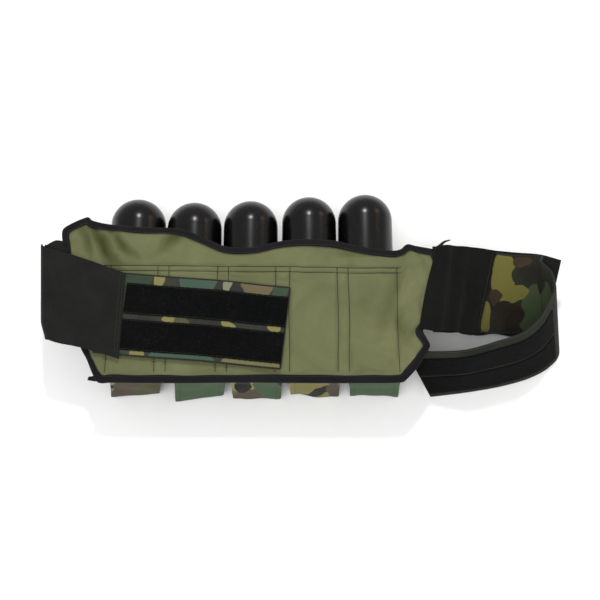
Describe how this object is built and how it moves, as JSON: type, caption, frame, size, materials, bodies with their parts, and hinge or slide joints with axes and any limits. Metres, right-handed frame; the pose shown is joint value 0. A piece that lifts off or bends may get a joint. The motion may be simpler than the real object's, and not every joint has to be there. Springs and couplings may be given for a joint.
{
  "type": "pod waist pack",
  "caption": "Waist pack of sewn elastic pockets holding tubular flip-lid pods, with a padded back panel, closing flaps and a two-ended elastic belt.",
  "frame": {"origin": "middle of the middle flap's outer face, on the surface that the pack lies on", "axes": "+X along the belt, +Y towards the pods' domes, +Z towards the wearer's side of the panel"},
  "size_m": [0.6076, 0.2371, 0.0826],
  "materials": {
    "liner": "woven olive lining",
    "face_cloth": "woven black cloth",
    "foam": "closed-cell foam",
    "binding": "woven edge tape",
    "camo": "woodland print cloth",
    "elastic": "ribbed woven elastic",
    "strip": "brushed loop strip",
    "hook": "moulded hook patch",
    "pod": "smooth moulded, semi-gloss",
    "lid": "moulded, satin",
    "pin": "drawn wire"
  },
  "bodies": {
    "root": {"panel_liner": "liner", "panel_foam": "foam", "panel_face": "face_cloth", "panel_binding": "binding", "pocket_1": "face_cloth", "pocket_1_mouth": "elastic", "pocket_1_loop": "strip", "pocket_2": "face_cloth", "pocket_2_mouth": "elastic", "pocket_2_loop": "strip", "pocket_3": "face_cloth", "pocket_3_mouth": "elastic", "pocket_3_loop": "strip", "pocket_4": "face_cloth", "pocket_4_mouth": "elastic", "pocket_4_loop": "strip", "pocket_5": "face_cloth", "pocket_5_mouth": "elastic", "pocket_5_loop": "strip"},
    "flap_1": {"flap_1": "camo", "flap_1_hook": "hook"},
    "pod_1": {"pod_1_tube": "pod", "pod_1_lid": "lid", "pod_1_pin": "pin"},
    "flap_2": {"flap_2": "camo", "flap_2_hook": "hook"},
    "pod_2": {"pod_2_tube": "pod", "pod_2_lid": "lid", "pod_2_pin": "pin"},
    "flap_3": {"flap_3": "camo", "flap_3_hook": "hook"},
    "pod_3": {"pod_3_tube": "pod", "pod_3_lid": "lid", "pod_3_pin": "pin"},
    "flap_4": {"flap_4": "camo", "flap_4_hook": "hook"},
    "pod_4": {"pod_4_tube": "pod", "pod_4_lid": "lid", "pod_4_pin": "pin"},
    "flap_5": {"flap_5": "camo", "flap_5_hook": "hook"},
    "pod_5": {"pod_5_tube": "pod", "pod_5_lid": "lid", "pod_5_pin": "pin"},
    "left_wing": {"left_elastic_inner": "elastic", "left_elastic_outer": "elastic"},
    "left_belt": {"left_belt": "camo", "left_strip_lower": "strip", "left_strip_upper": "strip"},
    "right_wing": {"right_elastic_inner": "elastic", "right_elastic_outer": "elastic"},
    "right_belt": {"right_belt": "camo"},
    "right_belt_end": {"right_belt_end": "camo", "right_strip_lower": "strip", "right_strip_upper": "strip"}
  },
  "joints": [
    {"name": "pod_1_slide", "type": "slide", "parent": "root", "child": "pod_1", "axis": [0, 1, 0], "range_m": [0, 0.125]},
    {"name": "flap_1_hinge", "type": "hinge", "parent": "root", "child": "flap_1", "pos_m": [-0.1328, -0.0423, 0.0706], "axis": [-1, 0, 0], "range_deg": [0, 135]},
    {"name": "pod_2_slide", "type": "slide", "parent": "root", "child": "pod_2", "axis": [0, 1, 0], "range_m": [0, 0.125]},
    {"name": "flap_2_hinge", "type": "hinge", "parent": "root", "child": "flap_2", "pos_m": [-0.0664, -0.0423, 0.0706], "axis": [-1, 0, 0], "range_deg": [0, 135]},
    {"name": "pod_3_slide", "type": "slide", "parent": "root", "child": "pod_3", "axis": [0, 1, 0], "range_m": [0, 0.125]},
    {"name": "flap_3_hinge", "type": "hinge", "parent": "root", "child": "flap_3", "pos_m": [0, -0.0423, 0.0706], "axis": [-1, 0, 0], "range_deg": [0, 135]},
    {"name": "pod_4_slide", "type": "slide", "parent": "root", "child": "pod_4", "axis": [0, 1, 0], "range_m": [0, 0.125]},
    {"name": "flap_4_hinge", "type": "hinge", "parent": "root", "child": "flap_4", "pos_m": [0.069, -0.0423, 0.0706], "axis": [-1, 0, 0], "range_deg": [0, 135]},
    {"name": "pod_5_slide", "type": "slide", "parent": "root", "child": "pod_5", "axis": [0, 1, 0], "range_m": [0, 0.125]},
    {"name": "flap_5_hinge", "type": "hinge", "parent": "root", "child": "flap_5", "pos_m": [0.1354, -0.0423, 0.0706], "axis": [-1, 0, 0], "range_deg": [0, 135]},
    {"name": "left_belt_unfold", "type": "hinge", "parent": "root", "child": "left_wing", "pos_m": [-0.23, 0.056, 0.07425], "axis": [0, -1, 0], "range_deg": [0, 165], "deforming": ["left_elastic_inner", "left_elastic_outer"]},
    {"name": "left_elastic_stretch", "type": "slide", "parent": "left_wing", "child": "left_belt", "axis": [0.9965, -0.0837, 0], "range_m": [0, 0.035], "stiffness_N_per_m": 500, "deforming": ["left_elastic_inner", "left_elastic_outer"]},
    {"name": "right_belt_swing", "type": "hinge", "parent": "root", "child": "right_wing", "pos_m": [0.2055, 0.062, 0.0712], "axis": [0, -1, 0], "range_deg": [0, 110], "deforming": ["right_elastic_inner", "right_elastic_outer"]},
    {"name": "right_elastic_stretch", "type": "slide", "parent": "right_wing", "child": "right_belt", "axis": [1, 0, 0], "range_m": [0, 0.035], "stiffness_N_per_m": 500, "deforming": ["right_elastic_inner", "right_elastic_outer"]},
    {"name": "right_belt_uncurl", "type": "hinge", "parent": "right_belt", "child": "right_belt_end", "pos_m": [0.36107, 0.033, 0.0371], "axis": [-0.1072, 0.6222, 0.7755], "range_deg": [0, 110]}
  ]
}
